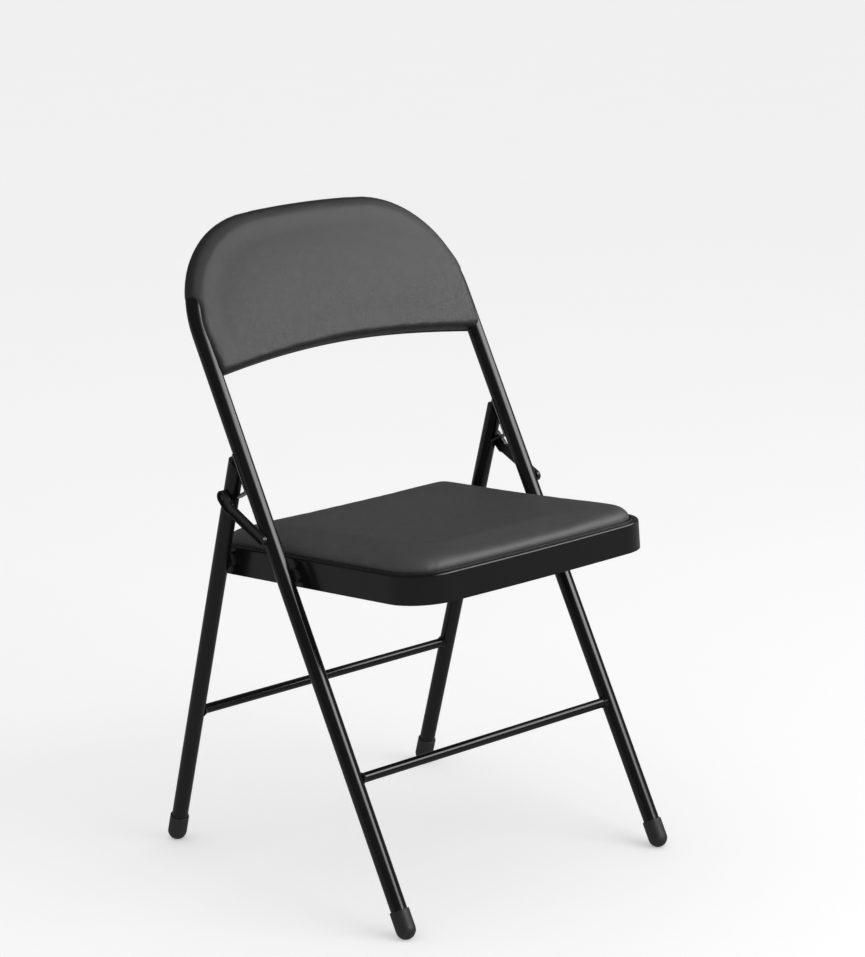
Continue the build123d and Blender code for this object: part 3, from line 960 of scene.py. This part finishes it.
@dataclass
class SeatCushion:
    """Crowned vinyl cushion in the pan's recess."""

    finishes: Finishes
    tilt: float = math.radians(4.6)
    front_height: float = 392.0 * MM
    half_width: float = 180.6 * MM
    margin: float = 9.4 * MM
    pan_length: float = 384.0 * MM
    bow: float = 5.0 * MM
    front_corner: float = 41.0 * MM
    rear_corner: float = 17.0 * MM
    floor: float = 31.5 * MM
    edge: float = 42.0 * MM
    edge_share: float = 0.8
    swell_length: float = 8.0 * MM
    crown: float = 54.0 * MM
    dome_reach: float = 1.15
    stitched: float = 5.0 * MM
    voxel: float = 4.0 * MM
    corner_steps: int = 10

    def plane(self) -> Matrix:
        """The pan's plane, with its origin at the front of its lower edge.

        Returns:
            The matrix from the pan's plane to the row frame.
        """
        low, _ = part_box("seat_pan")
        sine, cosine = math.sin(self.tilt), math.cos(self.tilt)
        across, back, up = Vector((1, 0, 0)), Vector((0, cosine, -sine)), Vector((0, sine, cosine))
        axes = Matrix((across, back, up)).transposed().to_4x4()
        axes.translation = Vector((0, low.y, self.front_height))
        return axes

    def ends(self) -> tuple[float, float]:
        """The cushion's front and rear, before its front is bowed."""
        return self.bow + self.margin, self.pan_length - self.margin

    def slab(self) -> bpy.types.Object:
        """A slab of the cushion's outline with round corners.

        Returns:
            The slab, on the pan.
        """
        bm = bmesh.new()
        front, rear = self.ends()
        bmesh.ops.create_grid(bm, x_segments=1, y_segments=1, size=1.0)
        for vertex in bm.verts:
            vertex.co = (vertex.co.x * self.half_width, front if vertex.co.y < 0 else rear, self.floor)
        for end, radius in ((front, self.front_corner), (rear, self.rear_corner)):
            row = [v for v in bm.verts if abs(v.co.y - end) < MM]
            corners = [v for v in row if abs(abs(v.co.x) - self.half_width) < MM]
            bmesh.ops.bevel(
                bm, geom=corners, offset=radius, offset_type="OFFSET", segments=self.corner_steps,
                profile=0.5, affect="VERTICES", material=-1,
            )
        thicken(bm, bm.faces[:], self.edge - self.floor)
        return to_object("seat_cushion", bm)

    def inside(self, point: Vector) -> float:
        """How far inside the cushion's outline a point lies.

        Args:
            point: The point, on the pan.

        Returns:
            The distance to the nearest edge, 0 at the edge and outside it.
        """
        front, rear = self.ends()
        side = self.half_width - abs(point.x)
        end = min(point.y - front, rear - point.y)
        radius = self.front_corner if point.y < (front + rear) / 2 else self.rear_corner
        if side < radius and end < radius:
            return max(0.0, radius - math.hypot(radius - side, radius - end))
        return max(0.0, min(side, end))

    def swell(self, point: Vector) -> float:
        """How far the foam stands above the cushion's edge: steep at the welt, then a low dome.

        Args:
            point: A point of the slab's top.

        Returns:
            The rise.
        """
        half_length = self.pan_length / 2
        across = 1 - (point.x / (self.half_width * self.dome_reach)) ** 2
        along = 1 - ((point.y - half_length) / (half_length * self.dome_reach)) ** 2
        steep = 1 - math.exp(-self.inside(point) / self.swell_length)
        dome = max(0.0, across) * max(0.0, along)
        return (self.crown - self.edge) * steep * (self.edge_share + (1 - self.edge_share) * dome)

    def bow_front(self, piece: bpy.types.Object) -> None:
        """Bow the cushion's front half forward, as the pan's front is bowed.

        Args:
            piece: The cushion, on the pan.
        """
        half_length = self.pan_length / 2
        for vertex in piece.data.vertices:
            reach = (vertex.co.x / self.half_width) ** 2
            if vertex.co.y < half_length:
                vertex.co.y -= self.bow * (1 - reach) * (1 - vertex.co.y / half_length)

    def build(self) -> None:
        """Make the cushion, dress it, fasten it to the seat and hide the CAD pad it stands in for."""
        piece = self.slab()
        remesh(piece, self.voxel)
        middle = (self.floor + self.edge) / 2
        for vertex in piece.data.vertices:
            if vertex.co.z >= middle:
                vertex.co.z += self.swell(vertex.co)
        relax(piece, 3)
        foam = Upholstering(pressure=6.0, cap=4.0 * MM, tautness=-0.002, bending=20.0)
        foam.fill(piece, lambda co: co.z < self.edge - MM or self.inside(co) < self.stitched)
        self.bow_front(piece)
        piece.data.transform(self.plane())
        subdivide_live(piece)
        dress(piece, self.finishes.seat_vinyl)
        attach(piece, Body.SEAT.value)
        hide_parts("seat_pad")
        report(piece)


# ---- stage -----------------------------------------------------------------------------------


@dataclass(frozen=True)
class Softbox:
    """An area light that faces the chair.

    Its aim is the direction from the chair to the light, and its radiance is how bright its face is.
    """

    name: str
    aim: tuple[float, float, float]
    distance: float
    size: tuple[float, float]
    radiance: float
    gloss_only: bool = False
    target_height: float = 0.45

    def build(self) -> None:
        """Hang the light."""
        width, height = self.size
        data = bpy.data.lights.new(self.name, "AREA")
        data.shape = "RECTANGLE"
        data.size, data.size_y = width, height
        data.energy = self.radiance * math.pi * width * height
        lamp = bpy.data.objects.new(self.name, data)
        toward = Vector(self.aim).normalized()
        lamp.location = Vector((0, 0, self.target_height)) + toward * self.distance
        lamp.rotation_euler = toward.to_track_quat("Z", "Y").to_euler()
        lamp.visible_camera = False
        lamp.visible_diffuse = not self.gloss_only
        bpy.context.scene.collection.objects.link(lamp)


@dataclass(frozen=True)
class Studio:
    """Pale floor, bright surround, two soft lights and the camera.

    The surround lights the room, and gloss mirrors less of it: mirrored of the walls and
    floor_mirrored of the floor. The floor glows by floor_glow where the camera sees it.
    """

    lens: float = 106.157
    sensor: float = 36.0
    place: tuple[float, float, float] = (-2.157893, -2.505254, 1.292396)
    azimuth: float = math.radians(-41.2055)
    elevation: float = math.radians(14.0047)
    roll: float = math.radians(-1.0749)
    surround: float = 0.62
    mirrored: float = 0.1
    floor_mirrored: float = 0.28
    floor_glow: float = 0.33
    floor_grey: float = 0.86
    floor_size: float = 40.0
    window: Softbox = Softbox("window", (0.6, -0.52, 0.52), 3.0, (4.4, 1.25), 5.0, gloss_only=True)
    key: Softbox = Softbox("key", (0.3, -0.8, 0.5), 3.2, (2.6, 1.6), 2.2)

    def camera(self) -> None:
        """Make the camera and set it as the scene's."""
        a, e, r = self.azimuth, self.elevation, self.roll
        back = Vector((math.sin(a) * math.cos(e), -math.cos(a) * math.cos(e), math.sin(e)))
        right = (-back).cross(Vector((0, 0, 1))).normalized()
        up = right.cross(-back)
        tilted_right = right * math.cos(r) + up * math.sin(r)
        tilted_up = up * math.cos(r) - right * math.sin(r)
        data = bpy.data.cameras.new("camera")
        data.lens, data.sensor_width = self.lens, self.sensor
        data.clip_end = 100.0
        camera = bpy.data.objects.new("camera", data)
        pose = Matrix((tilted_right, tilted_up, back)).transposed().to_4x4()
        pose.translation = Vector(self.place)
        camera.matrix_world = pose
        bpy.context.scene.collection.objects.link(camera)
        bpy.context.scene.camera = camera

    def two_tone(self, tree: bpy.types.NodeTree) -> None:
        """Light the room evenly, but let gloss mirror its darker walls.

        Args:
            tree: The world's node tree.
        """
        background = tree.nodes["Background"]
        background.inputs["Color"].default_value = WHITE
        path = tree.nodes.new("ShaderNodeLightPath")
        dim = tree.nodes.new("ShaderNodeMapRange")
        dim.inputs["To Min"].default_value = self.surround
        dim.inputs["To Max"].default_value = self.mirrored
        tree.links.new(path.outputs["Is Glossy Ray"], dim.inputs["Value"])
        bright = tree.nodes.new("ShaderNodeMath")
        bright.operation = "MAXIMUM"
        tree.links.new(dim.outputs["Result"], bright.inputs[0])
        tree.links.new(path.outputs["Is Camera Ray"], bright.inputs[1])
        tree.links.new(bright.outputs["Value"], background.inputs["Strength"])

    def floor_material(self) -> bpy.types.Material:
        """A pale floor that gloss mirrors dimly.

        Returns:
            The material.
        """
        nodes = Nodes("pale_floor")
        nodes.shade(nodes.noise(3.0), (self.floor_grey,) * 3, (self.floor_grey * 1.02,) * 3)
        nodes.set(Roughness=0.8, Specular_IOR_Level=0.0)
        path = nodes.add("ShaderNodeLightPath")
        nodes.shader.inputs["Emission Color"].default_value = WHITE
        glow = nodes.range(path.outputs["Is Camera Ray"], (0.0, 1.0), (0.0, self.floor_glow))
        nodes.join(glow, nodes.shader.inputs["Emission Strength"])
        dim = nodes.add("ShaderNodeEmission")
        dim.inputs["Strength"].default_value = self.floor_mirrored
        mix = nodes.add("ShaderNodeMixShader")
        nodes.join(path.outputs["Is Glossy Ray"], mix.inputs["Fac"])
        nodes.join(nodes.shader.outputs["BSDF"], mix.inputs[1])
        nodes.join(dim.outputs["Emission"], mix.inputs[2])
        nodes.join(mix.outputs["Shader"], nodes.tree.nodes["Material Output"].inputs["Surface"])
        return nodes.material

    def build(self) -> None:
        """Set the stage."""
        scene = bpy.context.scene
        world = bpy.data.worlds.new("surround")
        world.use_nodes = True
        self.two_tone(world.node_tree)
        scene.world = world
        scene.view_settings.view_transform = "Standard"
        bm = bmesh.new()
        bmesh.ops.create_grid(bm, x_segments=1, y_segments=1, size=self.floor_size)
        floor = to_object("floor", bm)
        dress(floor, self.floor_material())
        self.window.build()
        self.key.build()
        self.camera()


# ---- the chair -------------------------------------------------------------------------------


def report(piece: bpy.types.Object) -> None:
    """Log a piece's name and how many vertices it has.

    Args:
        piece: The piece.
    """
    LOG.info("%s: %d vertices", piece.name, len(piece.data.vertices))


def dress_frame(finishes: Finishes, names: Iterable[str]) -> None:
    """Give every CAD node its finish.

    Args:
        finishes: The chair's finishes.
        names: The nodes' names.
    """
    for name in names:
        dress(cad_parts[name], finishes.for_node(name))


def main() -> None:
    """Build the chair's looks round its frame."""
    logging.basicConfig(level=logging.INFO, format="%(message)s")
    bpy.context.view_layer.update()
    finishes = Finishes()
    dress_frame(finishes, sorted(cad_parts))
    Backrest(finishes).build()
    SeatCushion(finishes).build()
    Studio().build()


if __name__ == "__main__":
    main()
